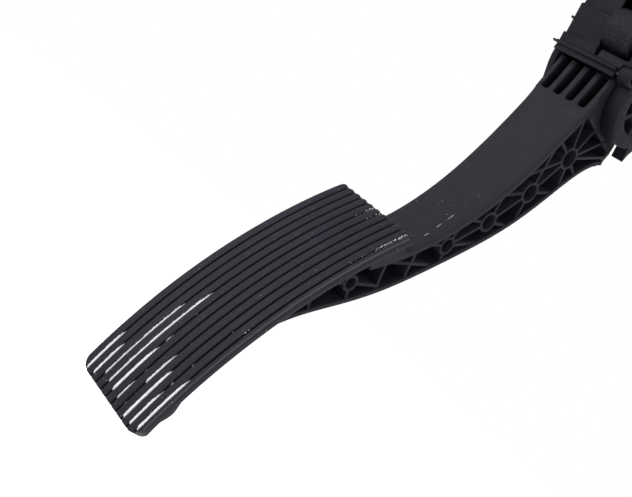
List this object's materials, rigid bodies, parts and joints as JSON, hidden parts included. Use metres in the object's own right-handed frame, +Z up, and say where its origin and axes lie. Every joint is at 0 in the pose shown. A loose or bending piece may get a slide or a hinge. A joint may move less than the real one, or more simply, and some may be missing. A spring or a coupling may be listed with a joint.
{
  "type": "accelerator pedal",
  "caption": "Hanging accelerator pedal: a ribbed curved arm with a grooved foot pad, pivoting in a housing with return springs, a friction lever and a position sensor.",
  "frame": {"origin": "midway between the two upper bolts, on the bulkhead plane", "axes": "+X to the driver's right along the pivot, +Y forward into the bulkhead, +Z up"},
  "size_m": [0.0875, 0.1644, 0.3323],
  "materials": {
    "arm_plastic": "fine moulded grain",
    "pad_rubber": "satin, smooth ridges",
    "housing_plastic": "fine moulded grain, lightly scuffed",
    "lever_plastic": "smooth, dusty",
    "bush_plastic": "smooth bearing plastic",
    "seal_rubber": "matte",
    "shaft_steel": "ground",
    "spring_steel": "drawn wire",
    "screw_steel": "zinc plated",
    "magnet_metal": "nickel plated",
    "board": "lacquered laminate",
    "chip": "moulded",
    "contact_metal": "tin on brass"
  },
  "bodies": {
    "housing": {"housing": "housing_plastic", "front_cover": "housing_plastic", "sensor_cover": "housing_plastic", "cover_seal": "seal_rubber", "pivot_bush_left": "bush_plastic", "pivot_bush_right": "bush_plastic", "friction_lever": "lever_plastic", "friction_shoe": "bush_plastic", "lever_pin": "shaft_steel", "return_spring_outer": "spring_steel", "return_spring_inner": "spring_steel", "idle_stop_bumper": "seal_rubber", "full_stop_bumper": "seal_rubber", "circuit_board": "board", "hall_sensor": "chip", "board_parts": "chip", "terminal_pins": "contact_metal", "sensor_cover_screws": "screw_steel", "cover_screws": "screw_steel", "bolt_sleeves": "screw_steel"},
    "pedal": {"pedal_arm": "arm_plastic", "pedal_pad": "pad_rubber", "pivot_shaft": "shaft_steel", "spring_seat": "bush_plastic", "magnet_carrier": "lever_plastic", "sensor_magnet": "magnet_metal"}
  },
  "joints": [
    {"name": "pedal_pivot", "type": "hinge", "parent": "housing", "child": "pedal", "pos_m": [0, -0.028, -0.034], "axis": [1, 0, 0], "range_deg": [0, 15], "stiffness_Nm_per_rad": 12, "springref_deg": -20.05, "deforming": ["return_spring_outer", "return_spring_inner"]}
  ]
}
